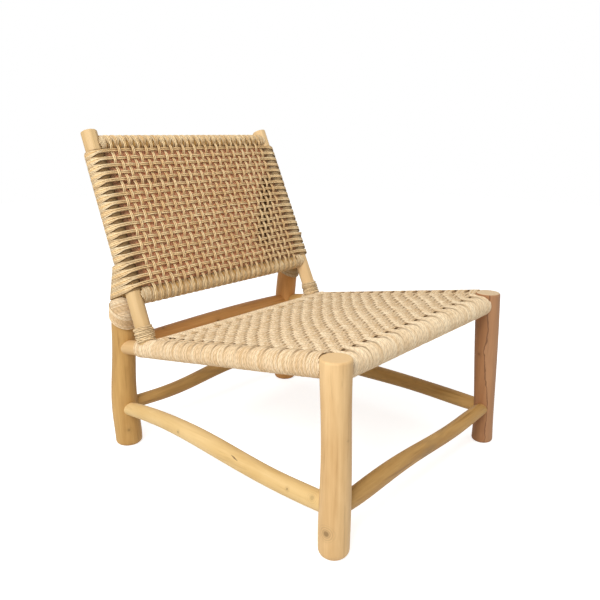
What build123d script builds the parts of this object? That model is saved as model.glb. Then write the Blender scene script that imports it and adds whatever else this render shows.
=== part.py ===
from build123d import *
import os
from math import atan2, cos, pi, sin

# A low lounge chair of peeled logs with a woven seat and a woven back panel. All sizes are
# millimetres. The chair faces -Y, +X is the sitter's left and the floor is Z = 0. The pieces are
# made with Y = 0 midway between the leg axes, and are moved at the end, so that the origin lies
# on the floor under the middle of the whole chair's box.

# Legs: where their axes meet the floor, and their sizes
front_leg_spacing = 592
rear_leg_spacing = 576
leg_depth_spacing = 654
front_leg_height = 380
rear_leg_height = 452
front_leg_radius = 28
rear_leg_radius = 30
front_foot_roundings = {"right": 15, "left": 7}
rear_foot_rounding = 10
leg_top_rounding = 4

# Seat frame
seat_rail_radius = 19.5
side_rail_rear_radius = 17
side_rail_drop = 16  # from a front leg's top down to the side rail's axis
front_rail_drop = 27.5  # from a front leg's top down to the front rail's axis
side_rail_rear_height = 251
front_rail_inset = 8  # from the front legs' axes back to the front rail's axis
side_rail_overhang = 3  # how far a side rail's rear end lies outside its leg's axis
rear_rail_setback = 149  # from the rear legs' axes to the rear seat rail's axis
rear_rail_radius = 20
cross_rail_rise = -1  # above the side rails' axes at the rear legs
cross_rail_radius = 21

# Lower stretchers
stretcher_radius = 19
front_stretcher_radius = 16.5
rear_stretcher_radius = 19
side_stretcher_front_heights = {"right": 99, "left": 86}
side_stretcher_rear_height = 93
front_stretcher_height = 95
rear_stretcher_height = 98
side_stretcher_overhang = 5  # how far a side stretcher lies outside its legs' axes
front_stretcher_overhang = 3

# Back posts and panel
post_radius = 18.5
post_top_spacing = 554
post_foot_setback = 114  # from the rear legs' axes forward to where the post meets the side rail
post_length = 518  # from the side rail's axis to the post's top
post_lean = 23  # degrees back from upright
post_top_rounding = 3
post_sides = 9
post_flat = 0.965  # a whittled flat lies at this share of the post's radius
panel_rail_radius = 17
top_rail_drop = 32  # from the post's top, down the slope, to the top rail's axis
panel_rail_spacing = 363

# Joints
tenon_radius = 10
panel_tenon_radius = 8
tenon_wall = 3  # wood kept between a tenon's end and the tenon that enters from the side
tenon_root = 12  # how far a tenon is counted into its own log, past the shoulder
glue_gap = 0.1
shoulder_gap = 0.2

# Cord work
wrap_thickness = 4
panel_wrap_thickness = 5.5  # round the back posts
lashing_thickness = 5
deck_thickness = 6
cord_gap = 0.3  # between cord work and the wood in it
lashing_gap = 1.2  # down the slope, from the panel's side wrap to the lashing below it
deck_top_offset = 17  # top of the upper deck above the side rails' axes
deck_bottom_offset = 20  # bottom of the lower deck below the side rails' axes
side_wrap_overhang = 66  # how far the side wraps run behind the rear seat rail's axis
panel_wrap_start = 50  # from the post's top, down the slope
panel_wrap_end = 384
leg_wrap_start = 322
panel_layer_step = 1  # the woven layers lie this far inside the rolls round the rails
post_lashing_height = 54  # from the side rail's axis, up the post
leg_lashing_bottoms = {"right": 318, "left": 345}  # at the legs' axes
leg_lashing_slant = 30  # degrees, its lower edge rising to the rear

# Screws that hold the posts to the rear legs
screw_radius = 2.5
screw_head_radius = 5
screw_head_height = 3.5
screw_length = 48
screw_sink = 2  # depth of the head's face below the post's front
screw_places = (345, 372)  # from the post's top, down the slope

RIGHT = -1
LEFT = 1
LEVELLING_STEPS = 4
SIDES = {"right": RIGHT, "left": LEFT}
ALONG_X = Vector(1, 0, 0)
ALONG_Y = Vector(0, 1, 0)
UPWARD = Vector(0, 0, 1)
FROM_BASE = (Align.CENTER, Align.CENTER, Align.MIN)
BEYOND = 3000  # an edge that reaches past the whole chair

# Natural shapes. Each station of a log is its share of the way from start to end, its two
# departures from the straight line, and its girth as a share of the log's radius. The
# departures are along X and Y for a leg, and sideways and upward for a rail or stretcher.
STRAIGHT = ((0, 0, 0, 1), (1, 0, 0, 1))
FRONT_LEG_SHAPES = {
    "right": (
        (0, 0, 0, 1.03),
        (0.12, 0, 0, 1.06),
        (0.42, 1.2, -1.4, 1.0),
        (0.8, 0, 0, 0.975),
        (1, -0.5, 0.5, 1.04),
    ),
    "left": (
        (0, 3.8, -4.4, 0.92),
        (0.35, 2, -2.3, 0.89),
        (0.55, 0, 0, 0.95),
        (0.75, -2, 2.2, 0.985),
        (1, -4.8, 5.5, 1.01),
    ),
}
REAR_LEG_SHAPES = {
    "right": (
        (0, 0, 0, 1.06),
        (0.07, 0, 0, 1.07),
        (0.3, -2.3, 2.6, 1.0),
        (0.47, 0, -3, 0.93),
        (0.69, 0, -12.3, 0.9),
        (0.81, 0, -16.6, 0.87),
        (1, 0, -34.5, 0.77),
    ),
    "left": (
        (0, 0, 0, 1.07),
        (0.07, 0.5, 0, 1.08),
        (0.35, 0, 0.5, 1.01),
        (0.6, 0, -4, 0.985),
        (0.71, 0, -10.5, 0.97),
        (0.81, 0, -17, 0.92),
        (1, 0, -34, 0.8),
    ),
}
SIDE_STRETCHER_SHAPES = {
    "right": (
        (0, 0, 0, 0.9),
        (0.1, 0, -0.8, 1.0),
        (0.25, 0, -0.5, 1.0),
        (0.45, 0, 8.5, 1.06),
        (0.68, 0, 16, 0.985),
        (0.84, 0, 12.5, 0.92),
        (1, 0, -1, 0.72),
    ),
    "left": (
        (0, 0, 0, 0.85),
        (0.09, 0, 1, 0.96),
        (0.25, 0, 5, 0.96),
        (0.46, 0, 5.7, 1.03),
        (0.75, 0, 3, 1.0),
        (1, 0, 0, 0.85),
    ),
}
FRONT_STRETCHER_SHAPE = (
    (0, 0, 0, 0.9),
    (0.16, 0, 0, 1.12),
    (0.34, 0, 2.2, 1.08),
    (0.45, 0, 0, 1.03),
    (0.62, 0, -6, 1.0),
    (0.85, 0, -6, 1.0),
    (1, 0, -7, 0.82),
)
REAR_STRETCHER_SHAPE = (
    (0, 0, 0, 0.8),
    (0.16, 0, -3.5, 0.85),
    (0.3, 0, -2.5, 0.9),
    (0.42, 0, 4, 0.94),
    (0.65, 0, 12, 0.95),
    (1, 0, 8, 0.8),
)
CROSS_RAIL_SHAPE = (
    (0, 0, 0, 0.95),
    (0.25, 0, 2.5, 1.0),
    (0.7, 0, 4.5, 1.02),
    (1, 0, 0, 0.95),
)
POST_SHAPE = (
    (0, 0, 0, 1.0),
    (0.5, 0, 0, 0.98),
    (1, 0, 0, 1.02),
)


class Log:
    """A peeled log: circles square to one direction, strung on a slightly bent centre line."""

    def __init__(self, start, end, direction, shape, radii, departures):
        self.direction = direction
        self.stations = []
        for share, first, second, girth in shape:
            centre = start + (end - start) * share
            centre += departures[0] * first + departures[1] * second
            radius = (radii[0] + (radii[1] - radii[0]) * share) * girth
            self.stations.append((share, centre, radius))

    def solid(self, grow=0.0, overrun=0.0):
        """The log's solid, made thicker all round by grow and longer at its end by overrun."""
        sections = []
        for share, centre, radius in self.stations:
            sections.append(Plane(origin=centre, z_dir=self.direction) * Circle(radius + grow))
        body = loft(sections)
        if overrun:
            body += rod(centre, self.direction, overrun, radius + grow)
        return body

    def at(self, share):
        """Centre and radius at a share of the log's length."""
        for before, after in zip(self.stations, self.stations[1:]):
            if share <= after[0]:
                part = (share - before[0]) / (after[0] - before[0])
                centre = before[1] + (after[1] - before[1]) * part
                return centre, before[2] + (after[2] - before[2]) * part
        return self.stations[-1][1:]

    def ends(self):
        """Each end's centre, with the direction from it into the log."""
        first, second = self.stations[0][1], self.stations[1][1]
        last, before_last = self.stations[-1][1], self.stations[-2][1]
        return (first, (second - first).normalized()), (last, (before_last - last).normalized())


def rod(start, direction, length, radius):
    return Plane(origin=start, z_dir=direction) * Cylinder(radius, length, align=FROM_BASE)


def leg(side, spacing, depth, height, radius, shape):
    foot = Vector(side * spacing / 2, depth, 0)
    # A shape's X departures are as seen on its own leg, so they aren't mirrored
    return Log(foot, foot + UPWARD * height, UPWARD, shape, (radius, radius), (ALONG_X, ALONG_Y))


def leg_centre(log, height):
    total = log.stations[-1][1].Z
    return log.at(height / total)[0]


def between(start, end, direction, shape, radii):
    """A rail or stretcher whose sideways departures are level and across it."""
    sideways = direction.cross(UPWARD)
    return Log(start, end, direction, shape, radii, (sideways, UPWARD))


# Centre lines of the whole frame

front_y = -leg_depth_spacing / 2
rear_y = leg_depth_spacing / 2

front_legs = {}
rear_legs = {}
for name, side in SIDES.items():
    front_legs[name] = leg(
        side, front_leg_spacing, front_y, front_leg_height, front_leg_radius,
        FRONT_LEG_SHAPES[name],
    )
    rear_legs[name] = leg(
        side, rear_leg_spacing, rear_y, rear_leg_height, rear_leg_radius,
        REAR_LEG_SHAPES[name],
    )

side_rails = {}
side_stretchers = {}
for name, side in SIDES.items():
    outward = ALONG_X * side
    side_rails[name] = between(
        leg_centre(front_legs[name], front_leg_height - side_rail_drop),
        leg_centre(rear_legs[name], side_rail_rear_height) + outward * side_rail_overhang,
        ALONG_Y, STRAIGHT, (seat_rail_radius, side_rail_rear_radius),
    )
    beside = outward * side_stretcher_overhang
    side_stretchers[name] = between(
        leg_centre(front_legs[name], side_stretcher_front_heights[name]) + beside,
        leg_centre(rear_legs[name], side_stretcher_rear_height) + beside,
        ALONG_Y, SIDE_STRETCHER_SHAPES[name], (stretcher_radius, stretcher_radius),
    )


def across(legs, height, setback, shape, radius):
    """A rail or stretcher from a right to a left leg, set back from their axes."""
    right = leg_centre(legs["right"], height) + ALONG_Y * setback
    left = leg_centre(legs["left"], height) + ALONG_Y * setback
    return between(right, left, ALONG_X, shape, (radius, radius))


front_rail = across(
    front_legs, front_leg_height - front_rail_drop, front_rail_inset, STRAIGHT, seat_rail_radius
)
front_stretcher = across(
    front_legs, front_stretcher_height, -front_stretcher_overhang, FRONT_STRETCHER_SHAPE,
    front_stretcher_radius,
)
rear_stretcher = across(
    rear_legs, rear_stretcher_height, 0, REAR_STRETCHER_SHAPE, rear_stretcher_radius
)
cross_rail = across(
    rear_legs, side_rail_rear_height + cross_rail_rise, 0, CROSS_RAIL_SHAPE, cross_rail_radius
)


def on_side_rail(name, depth):
    """The side rail's centre at a distance forward of the rear legs' axes, and its radius."""
    rail = side_rails[name]
    first, last = rail.stations[0][1], rail.stations[-1][1]
    return rail.at((rear_y - depth - first.Y) / (last.Y - first.Y))


rear_rail = between(
    on_side_rail("right", rear_rail_setback)[0], on_side_rail("left", rear_rail_setback)[0],
    ALONG_X, STRAIGHT, (rear_rail_radius, rear_rail_radius),
)

posts = {}
up_slope = Vector(0, sin(post_lean * pi / 180), cos(post_lean * pi / 180))
behind_panel = Vector(0, up_slope.Z, -up_slope.Y)
for name, side in SIDES.items():
    foot = on_side_rail(name, post_foot_setback)[0]
    top = foot + up_slope * post_length
    top.X = side * post_top_spacing / 2
    posts[name] = Log(
        foot, top, (top - foot).normalized(), POST_SHAPE, (post_radius, post_radius),
        (ALONG_X, behind_panel),
    )


def down_post(name, drop):
    """The post's centre at a distance down the slope from its top."""
    return posts[name].at(1 - drop / post_length)[0]


def panel_rail(drop):
    return between(
        down_post("right", drop), down_post("left", drop), ALONG_X, STRAIGHT,
        (panel_rail_radius, panel_rail_radius),
    )


bottom_rail_drop = top_rail_drop + panel_rail_spacing
top_rail = panel_rail(top_rail_drop)
bottom_rail = panel_rail(bottom_rail_drop)


# Wooden pieces. Mortises are collected for each host while the rails are cut.

mortises = {}


def fitted(rail, hosts, radius, keep, neighbours=()):
    """A rail between two hosts, shouldered against them, with a round tenon at each end."""
    body = rail.solid()
    for host in hosts:
        body -= host.solid(shoulder_gap, rail.stations[0][2])
    for neighbour in neighbours:
        body -= neighbour.solid(shoulder_gap)
    for host, (tip, inward) in zip(hosts, rail.ends()):
        tenon_start = tip + inward * keep
        reach = max(station[2] for station in host.stations) + tenon_root - keep
        body += rod(tenon_start, inward, reach, radius)
        hole = rod(tenon_start - inward * glue_gap, inward, reach + tenon_root, radius + glue_gap)
        mortises.setdefault(id(host), []).append(hole)
    return body


def bored(log, body):
    for hole in mortises.get(id(log), []):
        body -= hole
    return body


leg_keep = tenon_radius + tenon_wall
pieces = {}
side_rail_pair = (side_rails["right"], side_rails["left"])
pieces["front_seat_rail"] = fitted(
    front_rail, (front_legs["right"], front_legs["left"]), tenon_radius, leg_keep, side_rail_pair
)
pieces["front_stretcher"] = fitted(
    front_stretcher, (front_legs["right"], front_legs["left"]), tenon_radius, leg_keep
)
pieces["rear_stretcher"] = fitted(
    rear_stretcher, (rear_legs["right"], rear_legs["left"]), tenon_radius, leg_keep
)
pieces["rear_cross_rail"] = fitted(
    cross_rail, (rear_legs["right"], rear_legs["left"]), tenon_radius, leg_keep, side_rail_pair
)
pieces["rear_seat_rail"] = fitted(rear_rail, side_rail_pair, panel_tenon_radius, tenon_wall)
pieces["back_top_rail"] = fitted(
    top_rail, (posts["right"], posts["left"]), panel_tenon_radius, tenon_wall
)
pieces["back_bottom_rail"] = fitted(
    bottom_rail, (posts["right"], posts["left"]), panel_tenon_radius, tenon_wall
)


def post_foot_tenon(name, grow=0.0):
    """The round tenon that enters the side rail, from near the rail's axis into the post."""
    post = posts[name]
    rail_radius = on_side_rail(name, post_foot_setback)[1]
    lift = rail_radius / 2
    length = rail_radius + wrap_thickness + tenon_root
    start = post.stations[0][1] + post.direction * (lift - grow)
    return rod(start, post.direction, length, panel_tenon_radius + grow)


def screw(name, drop, grow=0.0):
    """A countersunk wood screw from the post's front into the slanted top of the rear leg."""
    face = down_post(name, drop) - behind_panel * (post_radius * post_flat - screw_sink)
    plane = Plane(origin=face, z_dir=behind_panel)
    head = plane * Cone(
        screw_head_radius + grow, screw_radius + grow, screw_head_height, align=FROM_BASE
    )
    shank = plane * Cylinder(screw_radius + grow, screw_length + grow, align=FROM_BASE)
    if grow:
        access = rod(face, behind_panel * -1, 2 * screw_sink, screw_head_radius + grow)
        return head + shank + access
    return head + shank


def screws(name, grow=0.0):
    return [screw(name, drop, grow) for drop in screw_places]


def whittled(log):
    """A log with flats along it."""
    sections = []
    for share, centre, radius in log.stations:
        flat = RegularPolygon(radius * post_flat, post_sides, major_radius=False)
        sections.append(Plane(origin=centre, z_dir=log.direction) * flat)
    return log.solid() & loft(sections, ruled=True)


for name in SIDES:
    side_rail = side_rails[name]
    ends = (front_legs[name], rear_legs[name])
    pieces["side_seat_rail_" + name] = fitted(side_rail, ends, tenon_radius, leg_keep)
    pieces["side_stretcher_" + name] = fitted(
        side_stretchers[name], ends, tenon_radius, leg_keep
    )
    rail = bored(side_rail, pieces["side_seat_rail_" + name])
    pieces["side_seat_rail_" + name] = rail - post_foot_tenon(name, glue_gap)

    post = whittled(posts[name])
    top_face = post.faces().sort_by(Axis(posts[name].at(0)[0], posts[name].direction))[-1]
    post = fillet(top_face.edges(), post_top_rounding)
    post -= side_rail.solid(wrap_thickness + 2 * cord_gap)
    post += post_foot_tenon(name)
    post = bored(posts[name], post)
    for hole in screws(name, glue_gap):
        post -= hole
    pieces["back_post_" + name] = post


def round_foot(body, rounding):
    return fillet(body.faces().sort_by(Axis.Z)[0].edges(), rounding)


def block_behind(point, normal):
    """A block that fills the space on the side of a plane that its normal points away from."""
    plane = Plane(origin=point, z_dir=normal * -1)
    return plane * Box(BEYOND, BEYOND, BEYOND, align=FROM_BASE)


for name in SIDES:
    front = round_foot(front_legs[name].solid(), front_foot_roundings[name])
    front = fillet(front.faces().sort_by(Axis.Z)[-1].edges(), leg_top_rounding)
    pieces["front_leg_" + name] = bored(front_legs[name], front)
    rear = round_foot(rear_legs[name].solid(), rear_foot_rounding)
    seat_for_post = down_post(name, leg_wrap_start) + behind_panel * (post_radius + shoulder_gap)
    rear -= block_behind(seat_for_post, behind_panel)
    rear = bored(rear_legs[name], rear)
    for hole in screws(name, glue_gap):
        rear -= hole
    pieces["rear_leg_" + name] = rear

all_screws = [one for name in SIDES for one in screws(name)]
pieces["post_screws"] = Compound(children=all_screws)


# Cord work

outer = wrap_thickness + cord_gap
panel_outer = panel_wrap_thickness + cord_gap


def rolls(logs, grow):
    body = logs[0].solid(grow)
    for log in logs[1:]:
        body += log.solid(grow)
    return body


def seat_deck(low, high):
    """A sheet parallel to the side rails, between two heights above their axes."""
    front = side_rails["right"].stations[0][1]
    rear = side_rails["right"].at(1)[0]
    slope = atan2(rear.Z - front.Z, rear.Y - front.Y)
    length = (leg_depth_spacing - rear_rail_setback) / cos(slope)
    plane = Plane(origin=(0, front.Y, front.Z), x_dir=(1, 0, 0), z_dir=(0, -sin(slope), cos(slope)))
    sheet = Box(
        (front_leg_spacing + rear_leg_spacing) / 2, length, high - low,
        align=(Align.CENTER, Align.MIN, Align.MIN),
    )
    return plane * Pos(0, 0, low) * sheet


def seat_weave():
    seat_rails = [front_rail, rear_rail, side_rails["right"], side_rails["left"]]
    cover = rolls(seat_rails, outer)
    cover += seat_deck(deck_top_offset - deck_thickness, deck_top_offset)
    cover += seat_deck(-deck_bottom_offset, deck_thickness - deck_bottom_offset)
    wrap_end = on_side_rail("right", rear_rail_setback)[0] + ALONG_Y * side_wrap_overhang
    cover -= block_behind(wrap_end, ALONG_Y * -1)
    for log in seat_rails:
        cover -= log.solid(cord_gap)
    for name in SIDES:
        cover -= front_legs[name].solid(cord_gap, seat_rail_radius)
        cover -= post_foot_tenon(name, cord_gap)
    return cover


def across_posts(drop):
    """The plane square to the panel at a distance down the slope from the posts' tops."""
    middle = (down_post("right", drop) + down_post("left", drop)) * 0.5
    return Plane(origin=middle, x_dir=(1, 0, 0), z_dir=up_slope)


def leg_across(name, plane):
    """Where a rear leg's axis meets a plane square to the panel, and the leg's radius there."""
    height = plane.origin.Z
    for step in range(LEVELLING_STEPS):
        centre, radius = rear_legs[name].at(height / rear_leg_height)
        height -= (centre - plane.origin).dot(plane.z_dir) / plane.z_dir.Z
    return plane.to_local_coords(centre), radius


def leg_wrap(name):
    """The part of the panel's side wrap that takes in the rear leg with the post."""
    sections = []
    for drop in (leg_wrap_start, panel_wrap_end):
        plane = across_posts(drop)
        leg_middle, leg_radius = leg_across(name, plane)
        post_middle = plane.to_local_coords(down_post(name, drop))
        leg_ring = Pos(leg_middle.X, leg_middle.Y) * Circle(leg_radius + outer)
        post_ring = Pos(post_middle.X, post_middle.Y) * Circle(
            post_radius + panel_outer - panel_layer_step
        )
        sections.append(plane * make_hull(leg_ring.edges() + post_ring.edges()))
    return loft(sections, ruled=True)


def panel_layer(side, grow=0.0):
    """One woven layer, behind (+1) or in front (-1) of the panel rails."""
    upper, lower = across_posts(top_rail_drop), across_posts(bottom_rail_drop)
    middle = (upper.origin + lower.origin) * 0.5
    offset = panel_rail_radius + outer - panel_layer_step - deck_thickness / 2
    plane = Plane(origin=middle + behind_panel * side * offset, x_dir=(1, 0, 0), z_dir=behind_panel)
    width, height, depth = post_top_spacing, panel_rail_spacing, deck_thickness
    return plane * Box(width + 2 * grow, height + 2 * grow, depth + 2 * grow)


def back_weave():
    cover = rolls([top_rail, bottom_rail], outer)
    for name in SIDES:
        post = posts[name]
        wrap = rod(
            down_post(name, panel_wrap_end), post.direction, panel_wrap_end - panel_wrap_start,
            post_radius + panel_outer,
        )
        cover += wrap
        cover += leg_wrap(name)
    cover += panel_layer(1)
    cover += panel_layer(-1)
    for log in (top_rail, bottom_rail, posts["right"], posts["left"]):
        cover -= log.solid(cord_gap)
    for name in SIDES:
        cover -= rear_legs[name].solid(cord_gap)
    return cover


def post_lashing(name):
    post = posts[name]
    foot = post.stations[0][1]
    lashing = rod(foot, post.direction, post_lashing_height, post_radius + lashing_thickness)
    lashing -= rod(foot, post.direction, post_lashing_height, post_radius + cord_gap)
    return lashing - side_rails[name].solid(wrap_thickness + 2 * cord_gap)


def leg_lashing(name):
    """Cord wound round a rear leg below the panel's wrap, its lower edge rising to the rear."""
    rear_leg = rear_legs[name]
    lashing = rear_leg.solid(outer) - rear_leg.solid(cord_gap)
    lashing -= block_behind(down_post(name, panel_wrap_end + lashing_gap), up_slope * -1)
    slant = leg_lashing_slant * pi / 180
    lower_edge = leg_centre(rear_leg, leg_lashing_bottoms[name])
    lashing -= block_behind(lower_edge, Vector(0, -sin(slant), cos(slant)))
    roll_start, roll_end = bottom_rail.stations[0][1], bottom_rail.stations[-1][1]
    lashing -= rod(
        roll_start - ALONG_X * cord_gap, ALONG_X, (roll_end - roll_start).X + 2 * cord_gap,
        panel_rail_radius + outer + cord_gap,
    )
    lashing -= panel_layer(1, cord_gap)
    return lashing - posts[name].solid(cord_gap)


pieces["seat_weave"] = seat_weave()
pieces["back_weave"] = back_weave()
for name in SIDES:
    pieces["post_lashing_" + name] = post_lashing(name)
    pieces["leg_lashing_" + name] = leg_lashing(name)

boxes = [piece.bounding_box() for piece in pieces.values()]
middle_y = (min(box.min.Y for box in boxes) + max(box.max.Y for box in boxes)) / 2

os.makedirs("parts", exist_ok=True)
for name, piece in pieces.items():
    solids = [Pos(0, -middle_y, 0) * solid for solid in piece.solids()]
    moved = solids[0] if len(solids) == 1 else Compound(children=solids)
    export_step(moved, "parts/" + name + ".step")
    print(name, round(piece.volume / 1000), "cm3")
print("moved by", round(-middle_y, 3), "mm along Y")
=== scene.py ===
import math

import bpy
import numpy as np
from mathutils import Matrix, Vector

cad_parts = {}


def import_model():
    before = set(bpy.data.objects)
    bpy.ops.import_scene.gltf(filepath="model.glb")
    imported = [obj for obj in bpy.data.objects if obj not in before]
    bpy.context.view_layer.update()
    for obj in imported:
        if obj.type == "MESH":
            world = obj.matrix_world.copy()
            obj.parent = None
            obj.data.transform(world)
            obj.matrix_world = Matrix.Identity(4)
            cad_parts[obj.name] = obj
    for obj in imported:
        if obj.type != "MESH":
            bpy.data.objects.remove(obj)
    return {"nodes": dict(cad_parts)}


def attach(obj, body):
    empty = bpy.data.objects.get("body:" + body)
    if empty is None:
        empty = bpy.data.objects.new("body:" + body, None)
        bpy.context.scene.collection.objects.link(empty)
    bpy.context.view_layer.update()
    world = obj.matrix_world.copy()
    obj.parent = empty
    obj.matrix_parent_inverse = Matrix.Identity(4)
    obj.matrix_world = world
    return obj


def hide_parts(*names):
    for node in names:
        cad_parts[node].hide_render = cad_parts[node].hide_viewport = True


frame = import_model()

# A low lounge chair of peeled logs. The logs keep their CAD solids and get wood materials. The
# plain shells of the woven seat and back, and the lashings, are replaced by cords.

# Lengths are millimetres, with y = 0 midway between the leg axes; meshes are made in metres.
MM = 0.001
ORIGIN = np.array((0.0, 37.439, 0.0))  # the CAD's origin in those coordinates
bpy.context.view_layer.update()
nodes = frame["nodes"]
rng = np.random.default_rng(11)

RIGHT, LEFT = -1, 1
SIDE_WORDS = {RIGHT: "right", LEFT: "left"}
X_AXIS, Y_AXIS, Z_AXIS = np.eye(3)

# -------------------- the frame's centre lines

# x, y, z and radius along each rear leg, upward
REAR_LEGS = {
    RIGHT: (
        (-290.3, 329.6, 135.6, 30.0), (-288, 324, 212.4, 27.9), (-288, 314.7, 311.9, 27.0),
        (-288, 310.4, 366.1, 26.1), (-288, 292.5, 452, 23.1),
    ),
    LEFT: (
        (288, 327.5, 158.2, 30.3), (288, 323, 271.2, 29.6), (288, 316.5, 320.9, 29.1),
        (288, 310, 366.1, 27.6), (288, 293, 452, 24.0),
    ),
}
REAR_LEG_X, REAR_LEG_Y = 288, 327  # at the floor
FRONT_LEG_TOPS = {RIGHT: (-296.3, -326.7, 28.3), LEFT: (292, -322.4, 28.0)}  # x, y and radius
SIDE_RAILS = {
    RIGHT: ((-296.4, -326.6, 364.0), (-291.0, 320.4, 251.0)),
    LEFT: ((291.7, -322.1, 364.0), (291.0, 323.8, 251.0)),
}
SIDE_RAIL_RADII = (19.5, 17.0)
RAIL_LENGTH = 657.0
POST_TOP_X, POST_TOP_Y, POST_TOP_Z = 277.0, 415.4, 746.9
POST_SPREAD = {RIGHT: 14.9, LEFT: 14.1}
POST_LENGTH = 518.0
POST_RADIUS = 18.5
LEAN = math.radians(23)
SLOPE = math.radians(9.91)
SEAT_Y, SEAT_Z = -324.35, 364.0


def unit(v):
    v = np.asarray(v, float)
    return v / np.linalg.norm(v, axis=-1, keepdims=True)


def smooth(x):
    x = np.clip(x, 0, 1)
    return x * x * (3 - 2 * x)


def on_panel(x, s, n):
    """Points by their x, their distance s down the slope from the posts' tops, and n behind."""
    x, s, n = np.broadcast_arrays(*(np.asarray(v, float) for v in (x, s, n)))
    y = POST_TOP_Y - s * math.sin(LEAN) + n * math.cos(LEAN)
    z = POST_TOP_Z - s * math.cos(LEAN) - n * math.sin(LEAN)
    return np.stack([x, y, z], axis=-1)


def panel_coordinates(y, z):
    """The s and n of a place, as on_panel takes them."""
    dy, dz = y - POST_TOP_Y, z - POST_TOP_Z
    s = -(dy * math.sin(LEAN) + dz * math.cos(LEAN))
    return s, dy * math.cos(LEAN) - dz * math.sin(LEAN)


def on_seat(x, t, h):
    """Points by their x, their distance t down the side rails, and h above the rails' axes."""
    x, t, h = np.broadcast_arrays(*(np.asarray(v, float) for v in (x, t, h)))
    y = SEAT_Y + t * math.cos(SLOPE) + h * math.sin(SLOPE)
    z = SEAT_Z - t * math.sin(SLOPE) + h * math.cos(SLOPE)
    return np.stack([x, y, z], axis=-1)


def post_x(side, s):
    return side * (POST_TOP_X + POST_SPREAD[side] * s / POST_LENGTH)


def rail_x(side, t):
    start, end = SIDE_RAILS[side]
    return start[0] + (end[0] - start[0]) * t / RAIL_LENGTH


def rail_radius(t):
    first, last = SIDE_RAIL_RADII
    return first + (last - first) * t / RAIL_LENGTH


def leg_at_height(side, z):
    """A rear leg's x, y, z and radius at a height."""
    rows = np.array(REAR_LEGS[side])
    return np.array([np.interp(z, rows[:, 2], rows[:, k]) for k in range(4)])


def leg_at_slope(side, s):
    """A rear leg's x, n and radius where a plane square to the panel cuts it."""
    rows = []
    for x, y, z, radius in REAR_LEGS[side]:
        rows.append((*panel_coordinates(y, z), x, radius))
    rows = np.array(sorted(rows))
    return tuple(np.interp(s, rows[:, 0], rows[:, k]) for k in (2, 1, 3))


post_ways = {
    side: (side * -POST_SPREAD[side] / POST_LENGTH, math.sin(LEAN), math.cos(LEAN))
    for side in (RIGHT, LEFT)
}
post_feet = {side: on_panel(post_x(side, POST_LENGTH), POST_LENGTH, 0) for side in (RIGHT, LEFT)}
rail_way = unit((0, math.cos(SLOPE), -math.sin(SLOPE)))
panel_up = np.array((0, math.sin(LEAN), math.cos(LEAN)))
panel_back = np.array((0, math.cos(LEAN), -math.sin(LEAN)))
seat_up = unit(on_seat(0, 0, 1) - on_seat(0, 0, 0))
seat_back = unit(on_seat(0, 1, 0) - on_seat(0, 0, 0))

# -------------------- cords as meshes

CORD_SIDES = 6


def resample(points, spacing, closed=False):
    """The same line with evenly spaced points."""
    line = np.vstack([points, points[:1]]) if closed else points
    steps = np.linalg.norm(np.diff(line, axis=0), axis=1)
    run = np.concatenate([[0], np.cumsum(steps)])
    count = max(3, int(round(run[-1] / spacing)) + 1)
    at = np.linspace(0, run[-1], count)
    out = np.stack([np.interp(at, run, line[:, k]) for k in range(line.shape[1])], axis=1)
    return out[:-1] if closed else out


def hull_outline(circles, first, last, out_sign):
    """Outline of circles (a, b, radius) pulled round by a taut cord, between two directions."""
    angles = np.radians(np.linspace(first, last, 90))
    ways = np.stack([out_sign * np.cos(angles), np.sin(angles)], axis=1)
    centres = np.array([c[:2] for c in circles], float)
    radii = np.array([c[2] for c in circles], float)
    reach = ways @ centres.T + radii
    best = reach.argmax(axis=1)
    points = centres[best] + radii[best, None] * ways
    keep = np.ones(len(points), bool)
    keep[1:] = np.linalg.norm(np.diff(points, axis=0), axis=1) > 0.05
    return points[keep]


def ring(points_of, radius, count):
    """A circle in the plane whose points points_of gives."""
    angle = np.linspace(0, 2 * np.pi, count + 1)[:-1]
    return points_of(radius * np.cos(angle), radius * np.sin(angle))


def around(point, way, radius, tilt, count=40):
    """A ring round an axis, its plane tilted by adding tilt to the axis direction."""
    way = unit(way)
    normal = unit(way + np.asarray(tilt, float))
    first = unit(np.cross(way, X_AXIS if abs(way[0]) < 0.5 else Y_AXIS))
    second = np.cross(way, first)
    angle = np.linspace(0, 2 * np.pi, count + 1)[:-1]
    spokes = radius * (np.cos(angle)[:, None] * first + np.sin(angle)[:, None] * second)
    rise = -(spokes @ normal) / (way @ normal)
    return np.asarray(point, float) + spokes + rise[:, None] * way


def new_object(name, data):
    made = bpy.data.objects.new(name, data)
    bpy.context.scene.collection.objects.link(made)
    return made


def kept_stretches(points, keep, closed, least=3):
    """The stretches of a line whose points are kept, each with whether it is a closed loop."""
    if keep.all():
        return [(points, closed)]
    if closed:
        start = int(np.argmin(keep))
        points, keep = np.roll(points, -start, axis=0), np.roll(keep, -start)
    changes = np.flatnonzero(np.diff(np.concatenate([[0], keep.astype(int), [0]])))
    return [(points[a:b], False) for a, b in changes.reshape(-1, 2) if b - a >= least]


def outside_bar(points, bar):
    """Which points lie outside an endless round bar: a point on its axis, its way and radius."""
    point, way, radius = bar
    away = points - np.asarray(point, float)
    way = unit(way)
    away = away - (away @ way)[:, None] * way
    return np.linalg.norm(away, axis=1) > radius


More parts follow.
